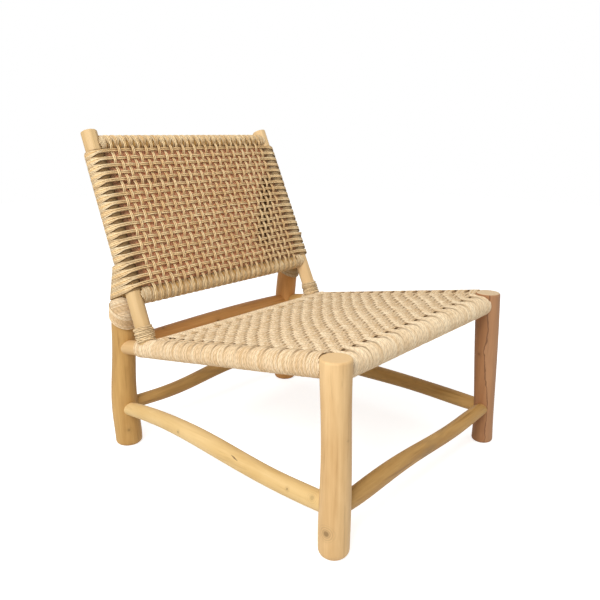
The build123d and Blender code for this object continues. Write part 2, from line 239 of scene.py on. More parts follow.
class Cords:
    """Gathers cords, each a tube along a line of points, into one mesh piece."""

    def __init__(self, name, sides=CORD_SIDES):
        self.name, self.sides = name, sides
        self.co, self.quads, self.uvs, self.caps = [], [], [], []
        self.tones, self.shades = [], []
        self.count = 0

    def add(self, points, radius, axis, closed=False, shade=0.0, tone=None):
        """Adds a cord; its neighbours lie along axis, and shade darkens it where it dives."""
        p = np.asarray(points, float)
        if closed:
            tangent = np.roll(p, -1, axis=0) - np.roll(p, 1, axis=0)
        else:
            tangent = np.gradient(p, axis=0)
        t = unit(tangent)
        axis = np.broadcast_to(np.asarray(axis, float), p.shape)
        b = unit(axis - (t * axis).sum(axis=1, keepdims=True) * t)
        n = np.cross(t, b)
        m, k = len(p), self.sides
        angle = np.arange(k) * 2 * np.pi / k + np.pi / k
        spokes = np.cos(angle)[None, :, None] * n[:, None, :]
        spokes = spokes + np.sin(angle)[None, :, None] * b[:, None, :]
        self.co.append((p[:, None, :] + radius * spokes).reshape(-1, 3))
        tone = rng.random() if tone is None else tone
        self.tones.append(np.full(m * k, tone))
        self.shades.append(np.repeat(np.broadcast_to(shade, m), k))
        rows = m if closed else m - 1
        i = np.repeat(np.arange(rows), k)
        j = np.tile(np.arange(k), rows)
        nxt = (i + 1) % m
        quads = np.stack(
            [i * k + j, nxt * k + j, nxt * k + (j + 1) % k, i * k + (j + 1) % k], axis=1
        )
        self.quads.append(quads + self.count)
        step = np.linalg.norm(np.roll(p, -1, axis=0) - p, axis=1)
        run = np.concatenate([[0], np.cumsum(step)]) + 1000 * rng.random()
        u0, u1, v0, v1 = j / k, (j + 1) / k, run[i], run[i + 1]
        self.uvs.append(np.stack([u0, v0, u0, v1, u1, v1, u1, v0], axis=1).reshape(-1, 2))
        if not closed:
            self.caps.append(self.count + np.arange(k)[::-1])
            self.caps.append(self.count + (m - 1) * k + np.arange(k))
        self.count += m * k

    def add_cut(self, line, radius, axis, bars, keep=None):
        """Adds the stretches of a closed line that are kept and lie outside the bars."""
        stretches = [(line, True)] if keep is None else kept_stretches(line, keep, True)
        for bar in bars:
            stretches = [
                part for points, loop in stretches
                for part in kept_stretches(points, outside_bar(points, bar), loop)
            ]
        for points, loop in stretches:
            self.add(points, radius, axis, closed=loop)

    def piece(self, material, node, slot):
        """Makes the mesh object, which stands for a CAD node."""
        mesh = bpy.data.meshes.new(self.name)
        co = (np.concatenate(self.co) - ORIGIN) * MM
        quads = np.concatenate(self.quads)
        caps = np.array(self.caps, int).reshape(-1, self.sides)
        mesh.vertices.add(len(co))
        mesh.vertices.foreach_set("co", co.astype(np.float32).ravel())
        corners = np.concatenate([quads.ravel(), caps.ravel()])
        mesh.loops.add(len(corners))
        mesh.loops.foreach_set("vertex_index", corners.astype(np.int32))
        starts = np.concatenate(
            [np.arange(len(quads)) * 4, quads.size + np.arange(len(caps)) * self.sides]
        )
        mesh.polygons.add(len(starts))
        mesh.polygons.foreach_set("loop_start", starts.astype(np.int32))
        mesh.update(calc_edges=True)
        mesh.polygons.foreach_set("use_smooth", np.ones(len(starts), bool))
        uv = np.concatenate([np.concatenate(self.uvs), np.zeros((caps.size, 2))])
        layer = mesh.uv_layers.new(name="cord")
        layer.data.foreach_set("uv", uv.astype(np.float32).ravel())
        for word, values in (("tone", self.tones), ("shade", self.shades)):
            layer = mesh.attributes.new(word, "FLOAT", "POINT")
            layer.data.foreach_set("value", np.concatenate(values).astype(np.float32))
        mesh.validate()
        mesh.materials.append(material)
        piece = new_object(self.name, mesh)
        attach(piece, "root")
        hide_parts(node)


# -------------------- materials


class Shader:
    """A material's node tree, with short calls for its nodes."""

    def __init__(self, name, roughness, specular):
        self.material = bpy.data.materials.new(name)
        self.material.use_nodes = True
        self.tree = self.material.node_tree
        self.bsdf = self.tree.nodes["Principled BSDF"]
        self.bsdf.inputs["Roughness"].default_value = roughness
        self.bsdf.inputs["Specular IOR Level"].default_value = specular
        self.place = self.node("TexCoord").outputs["Object"]

    def link(self, value, socket):
        if isinstance(value, bpy.types.NodeSocket):
            self.tree.links.new(value, socket)
        elif value is not None:
            socket.default_value = value

    def node(self, kind, inputs=(), **settings):
        made = self.tree.nodes.new("ShaderNode" + kind)
        for key, value in settings.items():
            setattr(made, key, value)
        for key, value in dict(inputs).items():
            self.link(value, made.inputs[key])
        return made

    def math(self, operation, a, b=None, c=None, clamp=False):
        made = self.node("Math", {0: a, 1: b, 2: c}, operation=operation, use_clamp=clamp)
        return made.outputs[0]

    def attribute(self, name):
        made = self.node("Attribute", attribute_name=name, attribute_type="GEOMETRY")
        return made.outputs["Fac"]

    def vector(self, operation, a, b=None):
        made = self.node("VectorMath", {0: a, 1: b}, operation=operation)
        return made.outputs["Value" if operation in ("LENGTH", "DOT_PRODUCT") else "Vector"]

    def along(self, way, length):
        """The vector of a length, a socket, in a fixed direction."""
        made = self.node("VectorMath", {0: tuple(way), 3: length}, operation="SCALE")
        return made.outputs["Vector"]

    def mix(self, factor, a, b):
        made = self.node("Mix", data_type="RGBA")
        for value, index in ((factor, 0), (a, 6), (b, 7)):
            self.link(value, made.inputs[index])
        return made.outputs[2]

    def step(self, value, low, high, to_low=0.0, to_high=1.0):
        inputs = {"Value": value, "From Min": low, "From Max": high}
        inputs.update({"To Min": to_low, "To Max": to_high})
        made = self.node("MapRange", inputs, interpolation_type="SMOOTHSTEP")
        return made.outputs["Result"]

    def noise(self, vector, scale, detail=2.0, roughness=0.5, distortion=0.0):
        inputs = {"Vector": vector, "Scale": scale, "Detail": detail, "Roughness": roughness}
        inputs["Distortion"] = distortion
        return self.node("TexNoise", inputs).outputs["Fac"]

    def bump(self, height, strength, distance):
        inputs = {"Strength": strength, "Distance": distance, "Height": height}
        return self.node("Bump", inputs).outputs["Normal"]

    def finish(self, colour, normal=None, roughness=None):
        self.link(colour, self.bsdf.inputs["Base Color"])
        self.link(normal, self.bsdf.inputs["Normal"])
        self.link(roughness, self.bsdf.inputs["Roughness"])
        return self.material


def rgb(red, green, blue):
    return (red, green, blue, 1.0)


def darker(colour, share):
    return rgb(*(share * c for c in colour[:3]))


TWIST_LENGTH = 22.0  # of cord to one turn of its two plies
PLIES = 2
FIBRES = 14.0  # scale of the fibre noise across a turn


def cord_material(name, light, dark, shade_colour, crease_shade_most=0.8):
    """Twisted grass cord: winding fibres, a tone per cord, and painted shade in its creases, ply
    grooves and dives.
    """
    sh = Shader(name, roughness=0.8, specular=0.15)
    uv = sh.node("UVMap", uv_map="cord").outputs[0]
    split = sh.node("SeparateXYZ", {0: uv})
    across, along = split.outputs[0], split.outputs[1]
    turn = sh.math("MULTIPLY_ADD", along, 1 / TWIST_LENGTH, across)
    ply = sh.step(sh.math("COSINE", sh.math("MULTIPLY", turn, 2 * PLIES * math.pi)), -1.0, -0.5)
    lengthwise = sh.math("MULTIPLY", along, 0.05)
    fibre_at = sh.node("CombineXYZ", {0: sh.math("MULTIPLY", turn, FIBRES), 1: lengthwise})
    fibre = sh.noise(fibre_at.outputs[0], 1.5, 3.0, 0.65)
    patch = sh.noise(sh.place, 30.0, 3.0, 0.6)
    blend = sh.math("MULTIPLY_ADD", fibre, 0.9, sh.math("MULTIPLY", patch, 0.9))
    blend = sh.math("SUBTRACT", blend, 0.85)
    blend = sh.math("MULTIPLY_ADD", sh.attribute("tone"), 0.9, blend, clamp=True)
    colour = sh.mix(blend, light, dark)
    # Painted shade: the sides that face the neighbouring cords, the grooves between the plies and
    # the shade attribute darken the cord toward its shade colour
    side = sh.math("MULTIPLY_ADD", across, 2 * math.pi, math.pi / CORD_SIDES)
    crease_shade = sh.step(sh.math("ABSOLUTE", sh.math("SINE", side)), 0.72, 1.0, 0.0, crease_shade_most)
    ply_shade = sh.math("MULTIPLY", sh.math("SUBTRACT", 1.0, ply), 0.35)
    shade_share = sh.math("MAXIMUM", crease_shade, ply_shade)
    shade_share = sh.math("MAXIMUM", shade_share, sh.attribute("shade"))
    colour = sh.mix(shade_share, colour, shade_colour)
    height = sh.math("MULTIPLY_ADD", fibre, 0.5, sh.math("MULTIPLY", ply, 0.6))
    return sh.finish(colour, sh.bump(height, 0.6, 0.0005))


def with_knot(sh, colour, medium, dark, spot):
    """Adds a ringed knot with a dark core; its spot is x, y, z, size and strength, in metres."""
    *centre, size, strength = spot
    apart = sh.vector("LENGTH", sh.vector("SUBTRACT", sh.place, tuple(centre)))
    ripple = sh.math("MULTIPLY_ADD", medium, size * 0.5, apart)
    near = sh.step(apart, size * 2.2, size * 0.3)
    rings = sh.math("SINE", sh.math("MULTIPLY", ripple, 2 * math.pi / (size * 0.42)))
    ringed = sh.math("MULTIPLY", near, sh.math("MULTIPLY_ADD", rings, 0.25, 0.3))
    core = sh.step(ripple, size * 0.95, size * 0.55)
    shade = sh.math("MULTIPLY", sh.math("MAXIMUM", ringed, core), strength, clamp=True)
    return sh.mix(shade, colour, darker(dark, 0.35))


# The far front leg's fissure: a level direction across it, and two of its points, each by its
# height and its place in that direction, in metres
FISSURE_ACROSS = (0.6572, -0.7537, 0.0)
FISSURE_LOW, FISSURE_HIGH = (0.1035, 0.4739), (0.2196, 0.4579)
FISSURE_TINTS = rgb(0.30, 0.14, 0.05), rgb(0.42, 0.24, 0.12)


def with_fissure(sh, colour, medium):
    """Adds the long open fissure of the far front leg, with another tint on each side of it."""
    height = sh.node("SeparateXYZ", {0: sh.place}).outputs[2]
    (low, low_place), (high, high_place) = FISSURE_LOW, FISSURE_HIGH
    line = sh.step(height, low, high, low_place, high_place)
    wander = sh.math("MULTIPLY_ADD", sh.noise(sh.place, 22.0, 3.0, 0.6), 0.016, -0.008)
    across = sh.vector("DOT_PRODUCT", sh.place, FISSURE_ACROSS)
    apart = sh.math("SUBTRACT", sh.math("ADD", across, wander), line)
    tint = sh.mix(sh.step(apart, -0.004, 0.004), *FISSURE_TINTS)
    colour = sh.mix(0.45, colour, tint)
    width = sh.math("MULTIPLY_ADD", medium, 0.0032, -0.0005)
    gap = sh.math("LESS_THAN", sh.math("ABSOLUTE", apart), width)
    return sh.mix(sh.math("MULTIPLY", gap, 0.6), colour, rgb(0.10, 0.04, 0.015))


def with_crack(sh, colour, medium, first, last):
    """Adds a short drying crack between two points, tapered to both ends."""
    middle, run = (first + last) / 2, unit(last - first)
    half = float(np.linalg.norm(last - first)) / 2
    offset = sh.vector("SUBTRACT", sh.place, tuple(middle))
    along = sh.vector("DOT_PRODUCT", offset, tuple(run))
    beside = sh.vector("SUBTRACT", offset, sh.along(run, along))
    taper = sh.math("SUBTRACT", 1.0, sh.math("DIVIDE", sh.math("ABSOLUTE", along), half))
    apart = sh.math("MULTIPLY_ADD", medium, 0.0016, sh.vector("LENGTH", beside))
    gap = sh.math("LESS_THAN", apart, sh.math("MULTIPLY", taper, 0.0024))
    return sh.mix(sh.math("MULTIPLY", gap, 0.8), colour, rgb(0.10, 0.05, 0.02))


def with_end_rings(sh, colour, across, broad, way, centre, face, dark):
    """Adds year rings on the faces square to the grain; centre lies on the log's axis."""
    middle = centre - way * float(np.dot(centre, way))
    out = sh.vector("LENGTH", sh.vector("SUBTRACT", across, tuple(middle)))
    uneven = sh.math("MULTIPLY_ADD", broad, 0.006, out)
    rings = sh.math("SINE", sh.math("MULTIPLY", uneven, 2600.0))
    rings = sh.math("MULTIPLY_ADD", rings, 0.5, 0.5)
    normal = sh.node("NewGeometry").outputs["Normal"]
    facing = sh.math("ABSOLUTE", sh.vector("DOT_PRODUCT", normal, tuple(way)))
    cut = sh.mix(sh.math("MULTIPLY", rings, 0.3), face, dark)
    return sh.mix(sh.step(facing, 0.75, 0.95), colour, cut)


def wood_material(
    name, axis, light, dark, streak=0.5, knots=(), centre=None, end=None,
    patches=None, crack=None, fissure=False, seed=0.0,
):
    """Peeled branch wood with its grain along axis.

    centre lies on the axis of an end with rings, of the colour end. patches is a tint with its
    noise scale and range. crack is a short line's two ends. fissure is the far front leg's own.
    """
    sh = Shader(name, roughness=0.55, specular=0.3)
    way = unit(axis)
    along = sh.vector("DOT_PRODUCT", sh.place, tuple(way))
    across = sh.vector("SUBTRACT", sh.place, sh.along(way, along))
    moved = sh.vector("ADD", across, (seed, seed * 0.7, -seed))
    grain_at = sh.vector("ADD", moved, sh.along(way * 0.045, along))
    slow_at = sh.vector("ADD", moved, sh.along(way * 0.25, along))
    fine = sh.noise(grain_at, 520.0, 3.0, 0.6)
    medium = sh.noise(grain_at, 130.0, 3.0, 0.55, 0.6)
    broad = sh.noise(slow_at, 26.0, 3.0, 0.55, 0.4)
    blend = sh.math("MULTIPLY", medium, 1.3 * streak)
    blend = sh.math("MULTIPLY_ADD", fine, 0.35 * streak, blend)
    blend = sh.math("MULTIPLY_ADD", broad, 1.5, blend)
    blend = sh.math("SUBTRACT", blend, 0.5 + 0.55 * streak, clamp=True)
    colour = sh.mix(blend, light, dark)
    vein = sh.math("MULTIPLY", sh.step(medium, 0.62, 0.74), 0.35 * streak)
    colour = sh.mix(vein, colour, darker(dark, 0.45))
    if patches:
        tint, scale, low, high = patches
        spots = sh.step(sh.noise(slow_at, scale, 2.0, 0.5, 0.8), low, high)
        colour = sh.mix(spots, colour, tint)
    for spot in knots:
        colour = with_knot(sh, colour, medium, dark, spot)
    if fissure:
        colour = with_fissure(sh, colour, medium)
    if crack:
        colour = with_crack(sh, colour, medium, *crack)
    if centre is not None:
        colour = with_end_rings(sh, colour, across, broad, way, centre, end or light, dark)
    height = sh.math("MULTIPLY_ADD", fine, 0.5, medium)
    roughness = sh.step(medium, 0.3, 0.8, 0.62, 0.48)
    return sh.finish(colour, sh.bump(height, 0.35, 0.0005), roughness)


def screw_material():
    sh = Shader("zinc_steel", roughness=0.35, specular=0.5)
    sh.bsdf.inputs["Metallic"].default_value = 1.0
    wear = sh.noise(sh.place, 900.0, 3.0)
    colour = sh.mix(wear, rgb(0.62, 0.62, 0.6), rgb(0.42, 0.42, 0.42))
    return sh.finish(colour, sh.bump(wear, 0.2, 0.0002))


# Each cord's light and dark fibres, the colour of its painted shade, and how dark its creases are
# painted
seat_cord = cord_material(
    "seat_cord", rgb(1.0, 0.825, 0.57), rgb(0.74, 0.51, 0.275), rgb(0.20, 0.10, 0.035), 0.78
)
back_cord = cord_material(
    "back_cord", rgb(0.85, 0.68, 0.43), rgb(0.60, 0.40, 0.20), rgb(0.22, 0.12, 0.04)
)
row_cord = cord_material(
    "back_row_cord", rgb(1.0, 0.78, 0.45), rgb(0.80, 0.53, 0.25), rgb(0.22, 0.11, 0.04), 0.7
)
# The lining's bright salmon is painted warm light: the panel's inside, seen through the front
# layer's gaps, is warmer and brighter than the cords' own colour
warm_lit_lining_cord = cord_material(
    "back_lining_painted_light", rgb(1.0, 0.58, 0.34), rgb(0.96, 0.50, 0.27), rgb(0.20, 0.10, 0.04), 0.35
)
lashing_cord = cord_material(
    "lashing_cord", rgb(1.0, 0.77, 0.46), rgb(0.78, 0.56, 0.30), rgb(0.16, 0.09, 0.04)
)

# -------------------- the logs' woods

# Each wood's light and dark grain
LIGHT_WOOD = rgb(0.78, 0.53, 0.26), rgb(0.56, 0.33, 0.13)
SAND_WOOD = rgb(0.80, 0.57, 0.27), rgb(0.60, 0.38, 0.13)
HONEY_WOOD = rgb(0.63, 0.38, 0.13), rgb(0.38, 0.195, 0.05)
AMBER_WOOD = rgb(0.72, 0.36, 0.11), rgb(0.46, 0.19, 0.05)
BROWN_WOOD = rgb(0.52, 0.25, 0.11), rgb(0.30, 0.12, 0.05)
TAN_WOOD = rgb(0.68, 0.47, 0.23), rgb(0.52, 0.33, 0.14)
PALE_WOOD = rgb(0.84, 0.60, 0.32), rgb(0.66, 0.42, 0.18)
OLIVE_PATCH = rgb(0.34, 0.20, 0.075)


def in_cad(*place):
    """A point of the centre lines' frame, in the CAD's frame and metres."""
    return (np.array(place, float) - ORIGIN) * MM


def knot(x, y, z, size, strength):
    return (*in_cad(x, y, z), size * MM, strength)


WOODS = {
    "front_leg_right": (Z_AXIS, LIGHT_WOOD, dict(
        centre=in_cad(*FRONT_LEG_TOPS[RIGHT][:2], 0), streak=0.8,
        knots=[knot(-325, -331.7, 59.3, 11, 0.75), knot(-296.6, -354.4, 236.4, 6, 0.25)],
    )),
    "front_leg_left": (Z_AXIS, BROWN_WOOD, dict(
        centre=in_cad(*FRONT_LEG_TOPS[LEFT][:2], 0), streak=0.9, seed=0.3,
        end=rgb(0.80, 0.60, 0.36), knots=[knot(269.3, -321.1, 232, 7, 0.8)], fissure=True,
    )),
    "rear_leg_right": (Z_AXIS, HONEY_WOOD, dict(
        centre=in_cad(-REAR_LEG_X, REAR_LEG_Y, 0), streak=0.6, seed=0.7,
        knots=[knot(-304, 299.6, 44.9, 7, 0.5)],
    )),
    "rear_leg_left": (Z_AXIS, AMBER_WOOD, dict(
        centre=in_cad(REAR_LEG_X, REAR_LEG_Y, 0), streak=0.6, seed=1.1,
    )),
    "front_seat_rail": (X_AXIS, HONEY_WOOD, dict(seed=1.3)),
    "side_seat_rail_right": (rail_way, LIGHT_WOOD, dict(seed=1.7)),
    "side_seat_rail_left": (rail_way, HONEY_WOOD, dict(seed=1.9)),
    "rear_seat_rail": (X_AXIS, HONEY_WOOD, dict(seed=2.1)),
    "rear_cross_rail": (X_AXIS, AMBER_WOOD, dict(
        seed=2.3, streak=0.8,
        knots=[knot(-5.8, 300.8, 253.8, 7, 0.9), knot(-175.7, 314.9, 271.3, 6, 0.7)],
    )),
    "back_post_right": (post_ways[RIGHT], TAN_WOOD, dict(
        seed=2.7, streak=0.4, centre=in_cad(-POST_TOP_X, POST_TOP_Y, POST_TOP_Z),
    )),
    "back_post_left": (post_ways[LEFT], PALE_WOOD, dict(
        seed=2.9, streak=0.5, centre=in_cad(POST_TOP_X, POST_TOP_Y, POST_TOP_Z),
    )),
    "back_top_rail": (X_AXIS, HONEY_WOOD, dict(seed=3.1)),
    "back_bottom_rail": (X_AXIS, HONEY_WOOD, dict(seed=3.3)),
    "front_stretcher": (X_AXIS, HONEY_WOOD, dict(
        seed=3.7, streak=0.9, patches=(OLIVE_PATCH, 14.0, 0.52, 0.68),
    )),
    "side_stretcher_right": (Y_AXIS, SAND_WOOD, dict(
        seed=4.1, streak=0.6, crack=(in_cad(-309.1, -57, 119.3), in_cad(-316, -113.5, 107.2)),
        knots=[
            knot(-315.2, -290.8, 109.3, 9, 0.4), knot(-316.9, -231.7, 104.3, 4, 0.8),
            knot(-315.4, 90.5, 113.1, 4, 0.8),
        ],
    )),
    "side_stretcher_left": (Y_AXIS, HONEY_WOOD, dict(
        seed=4.3, streak=0.8, patches=(OLIVE_PATCH, 12.0, 0.60, 0.74),
    )),
    "rear_stretcher": (X_AXIS, HONEY_WOOD, dict(
        seed=4.7, streak=0.8, patches=(OLIVE_PATCH, 12.0, 0.58, 0.72),
    )),
}


def dress(node, material):
    nodes[node].data.materials.clear()
    nodes[node].data.materials.append(material)


for node, (axis, (light, dark), details) in WOODS.items():
    dress(node, wood_material("wood_" + node, axis, light, dark, **details))
dress("post_screws", screw_material())

# -------------------- back panel

# Places down the slope are measured from the posts' tops
CORD = 1.8  # radius
TURN = 0.94 * CORD  # radius of the cords wound round the posts and rails
ROWS, COLUMNS = 19, 27
FIRST_ROW, LAST_ROW = 54.0, 370.0
FIRST_WRAP, LAST_WRAP = 50.0, 384.0
EDGE_COLUMN = 243.0  # x of the outer columns
TOP_RAIL_S, BOTTOM_RAIL_S = 32.0, 395.0
ROLL = 19.6  # radius of the turns round the rails, to the cords' centres
POST_WRAP = 22.6  # the same round the posts
LEG_WRAP_START = 322.0  # from here down the turns go round the rear legs too
SLEEVE = 19.3  # radius of turns on the posts painted dark as shade, seen between the gathered ones
WEAVE = 1.6  # how far a cord's centre moves to pass over or under
PAIR_HALF = 1.95  # half the distance of a pair's cords in the weave
POST_PAIR_HALF = 1.55  # the same on the posts
STRANDS = 6  # cords to one row or column; the middle two are the woven pair
OUTER_STRANDS = (0, 1, 4, 5)
LINING = -10.0  # a plain layer of cords, between the rails' plane and the front layer
PARTED_ROWS = {4: -1.2, 5: 1.4}  # two rows that leave a gap on the right half
row_pitch = (LAST_ROW - FIRST_ROW) / (ROWS - 1)
wrap_pitch = (LAST_WRAP - FIRST_WRAP) / ROWS
column_pitch = 2 * EDGE_COLUMN / (COLUMNS - 1)

row_cords, column_cords = Cords("back_row_cords"), Cords("back_column_cords")
post_wraps, rail_wraps = Cords("back_post_wraps"), Cords("back_rail_wraps")
inner_cords = Cords("back_inner_cords")


def wobble(points_along, size, wavelength):
    """A slow random sway along a cord."""
    phase, second = rng.random(2) * 2 * np.pi
    sway = np.sin(points_along / wavelength * 2 * np.pi + phase)
    return size * (sway + 0.6 * np.sin(points_along / wavelength * 4.7 * np.pi + second)) / 1.6


def layer_depth(s):
    """How far a woven layer lies from the rails' plane."""
    near = np.minimum(s - TOP_RAIL_S, BOTTOM_RAIL_S - s)
    return 17.8 + 1.5 * (1 - smooth((near - 12) / 34))


def weaving(place, first, pitch, turns):
    """Whether a cord passes over (1) or under (-1) the cords that cross it, at a place."""
    wave = np.cos(np.pi * (place - first) / pitch)
    return np.tanh(1.5 * wave) / math.tanh(1.5) * turns


def dive_shade(over, most):
    """Shade of a cord that goes from over (1) to under (-1)."""
    return most * smooth((0.55 - over) / 1.1)


def drawn_together(k, nearest, step):
    """Where the cord k places from a pair's middle lies once the cords are drawn together."""
    return math.copysign(nearest + step * (abs(k) - 1.5), k) + rng.uniform(-0.3, 0.3)


def post_outline(side, s, tip_depth):
    """Taut line round a post, and the rear leg behind it, from the front layer to the back one."""
    radius = POST_WRAP - 2.4 * (1 - smooth((s - FIRST_WRAP + 2) / 9)) + rng.uniform(-0.25, 0.25)
    circles = [(post_x(side, s), 0.0, radius)]
    circles += [(side * EDGE_COLUMN, -tip_depth, 0.0), (side * EDGE_COLUMN, tip_depth, 0.0)]
    if s > LEG_WRAP_START - 6:
        x, n, leg_radius = leg_at_slope(side, s)
        circles.append((x, n, leg_radius + 2.7))
    return hull_outline(circles, -115, 165, side)


def fanned(side, outline, wrap_s, row_s, spread, bunched):
    """Points of a turn that leaves its post at wrap_s and gathers at its row, and its shade."""
    axis_x = post_x(side, wrap_s)
    inward = (axis_x - outline[:, 0]) / (axis_x - side * EDGE_COLUMN)
    share = smooth((inward + 0.6) / 0.5)
    slide = smooth((inward + 0.8) / 1.7)
    s = wrap_s + (row_s - wrap_s) * slide + (1 - share) * spread + share * bunched
    return on_panel(outline[:, 0], s, outline[:, 1]), 0.55 * smooth((inward - 0.55) / 0.45)


def lining_shade(x, s):
    """Painted shade on the lining: lines behind the parted rows' gap and on the right half, and a
    band on the left half with shade beyond it.
    """
    line = smooth(1 - np.abs(s - 133 - 0.01 * x) / 7) * smooth((20 - x) / 90)
    upright = smooth(1 - np.abs(x + 178) / 7) * smooth((s - 130) / 60)
    beyond = x - 310 + 0.51 * s
    shaded_band = smooth(1.3 - np.abs(beyond) / 28) * smooth((s - 115) / 40) * smooth((350 - s) / 40)
    shade = 0.8 * line + 0.5 * upright + 0.95 * shaded_band + 0.5 * smooth(beyond / 20)
    return np.clip(shade, 0, 0.95)


def add_row_pair(row, row_s, wrap_s, turns):
    """A row's two cords, each a loop across the front, round a post, and across the back."""
    x = np.arange(-EDGE_COLUMN, EDGE_COLUMN + 1, column_pitch / 4)
    over = weaving(x, -EDGE_COLUMN, column_pitch, turns)
    sway = wobble(x, 0.8, 130.0) + PARTED_ROWS.get(row, 0) * smooth((10 - x) / 90)
    depth = layer_depth(row_s)
    back_shade = dive_shade(-over, 0.5)[1:-1]
    front_shade = dive_shade(over, 0.5)[::-1][1:-1]
    for half in (-1, 1):
        spread, bunched = half * POST_PAIR_HALF, half * PAIR_HALF
        arcs = []
        for side in (RIGHT, LEFT):
            outline = resample(post_outline(side, wrap_s + spread, depth), 4.0)
            arcs.append(fanned(side, outline, wrap_s, row_s, spread, bunched)[0])
        right_arc, left_arc = arcs
        along = row_s + bunched + sway + wobble(x, 0.3, 45.0)
        front = on_panel(x, along, -depth - WEAVE * over)
        back = on_panel(x, along + rng.uniform(-1, 1), depth - WEAVE * over)
        line = np.vstack([right_arc, back[1:-1], left_arc[::-1], front[::-1][1:-1]])
        bare_right, bare_left = np.zeros(len(right_arc)), np.zeros(len(left_arc))
        shade = np.concatenate([bare_right, back_shade, bare_left, front_shade])
        row_cords.add(line, CORD, panel_up, closed=True, shade=shade)


def add_post_turns(row_s, wrap_s):
    """The turns round both posts beside a row's pair."""
    for strand in OUTER_STRANDS:
        k = strand - 2.5
        spread = k * wrap_pitch / STRANDS
        for side in (RIGHT, LEFT):
            outline = post_outline(side, wrap_s + spread, 14.5 + rng.uniform(-1.5, 1.0))
            closed_line = resample(outline, 4.0, closed=True)
            bunched = drawn_together(k, 1.2, 1.6)
            line, shade = fanned(side, closed_line, wrap_s, row_s, spread, bunched)
            post_wraps.add(line, TURN, panel_up, closed=True, shade=shade)


def add_lining(row, turns):
    """The lining's cords at a row, from post to post."""
    for strand in range(STRANDS):
        middle = FIRST_ROW + (row + (strand - 2.5) / STRANDS) * row_pitch
        if middle < TOP_RAIL_S + 15:
            continue
        x = np.linspace(post_x(RIGHT, middle) + 18, post_x(LEFT, middle) - 18, 105)
        over = weaving(x, -EDGE_COLUMN, column_pitch, turns)
        along = middle + wobble(x, 0.25, 120.0)
        line = on_panel(x, along, LINING - 0.7 * over)
        # Painted shade: the lining's dark lines and band, and its darkening beyond the outer
        # columns toward the posts
        shade = np.maximum(lining_shade(x, along), 0.6 * smooth((np.abs(x) - EDGE_COLUMN - 4) / 8))
        inner_cords.add(line, CORD, panel_up, shade=shade)


def add_column_pair(column_x, turns):
    """A column's two cords, each a loop down the front, round a rail, and up the back."""
    s = np.arange(TOP_RAIL_S, BOTTOM_RAIL_S + 0.1, row_pitch / 4)
    over = weaving(s, FIRST_ROW, row_pitch, turns)
    over = over * smooth((s - TOP_RAIL_S) / 8) * smooth((BOTTOM_RAIL_S - s) / 14)
    sway = wobble(s, 0.8, 120.0)
    depth = layer_depth(s)
    reach = ROLL + 0.4
    arc = np.linspace(0, np.pi, 17)[1:-1]
    for half in (-1, 1):
        x = column_x + half * PAIR_HALF + sway + wobble(s, 0.3, 40.0)
        front = on_panel(x, s, -depth + WEAVE * over)
        back = on_panel(x[::-1], s[::-1], depth[::-1] + WEAVE * over[::-1])
        below = on_panel(x[-1], BOTTOM_RAIL_S + reach * np.sin(arc), -reach * np.cos(arc))
        above = on_panel(x[0], TOP_RAIL_S - reach * np.sin(arc), reach * np.cos(arc))
        line = np.vstack([front, below, back, above])
        front_shade, back_shade = dive_shade(-over, 0.6), dive_shade(over, 0.6)[::-1]
        bare = np.zeros(len(arc))
        shade = np.concatenate([front_shade, bare, back_shade, bare])
        column_cords.add(line, CORD, X_AXIS, closed=True, shade=shade)


def add_rail_turns(column_x):
    """The turns round both rails beside a column's pair."""
    angle = np.linspace(0, 2 * np.pi, 33)[:-1]
    for strand in OUTER_STRANDS:
        k = strand - 2.5
        for rail_s, inner in ((TOP_RAIL_S, 1), (BOTTOM_RAIL_S, -1)):
            share = smooth(inner * np.sin(angle) + 0.5)
            bunched = drawn_together(k, 2.6, 1.2)
            x = column_x + (1 - share) * k * column_pitch / STRANDS + share * bunched
            radius = ROLL - 0.5 - 1.4 * share + rng.uniform(-0.3, 0.2)
            line = on_panel(x, rail_s + radius * np.sin(angle), radius * np.cos(angle))
            rail_wraps.add(line, TURN, X_AXIS, closed=True, shade=0.6 * share**2)


def add_shade_sleeve(side):
    """Turns close to a post, under the gathered ones, painted dark as shade; darker on the right
    post.
    """
    for s in np.arange(FIRST_WRAP + 1, LAST_WRAP, 2.8):
        line = ring(lambda a, b: on_panel(post_x(side, s) + a, s, b), SLEEVE, 32)
        shade = 0.85 if side == RIGHT else 0.5
        post_wraps.add(line, 1.5, panel_up, closed=True, shade=shade)


def add_rail_ends(side):
    """Turns round the rails from the last column to a post."""
    post_bar = (post_feet[side], post_ways[side], POST_RADIUS + 1.5)
    for rail_s in (TOP_RAIL_S, BOTTOM_RAIL_S):
        for x in np.arange(EDGE_COLUMN + column_pitch / 2 + 1.5, 284, 3.1):
            line = ring(lambda a, b: on_panel(side * x, rail_s + a, b), ROLL - 0.4, 48)
            rail_wraps.add_cut(line, TURN, X_AXIS, [post_bar])


for row in range(ROWS):
    row_s = FIRST_ROW + row * row_pitch + rng.uniform(-0.8, 0.8)
    wrap_s = FIRST_WRAP + (row + 0.5) * wrap_pitch
    turns = (-1) ** row
    add_row_pair(row, row_s, wrap_s, turns)
    add_post_turns(row_s, wrap_s)
    add_lining(row, turns)
for column in range(COLUMNS):
    column_x = -EDGE_COLUMN + column * column_pitch + rng.uniform(-0.8, 0.8)
    add_column_pair(column_x, (-1) ** column)
    add_rail_turns(column_x)
for side in (RIGHT, LEFT):
    add_shade_sleeve(side)
    add_rail_ends(side)

for cords, material in (
    (row_cords, row_cord), (column_cords, row_cord), (post_wraps, back_cord),
    (rail_wraps, back_cord), (inner_cords, warm_lit_lining_cord),
):
    cords.piece(material, "back_weave", "back_cord")

# -------------------- seat

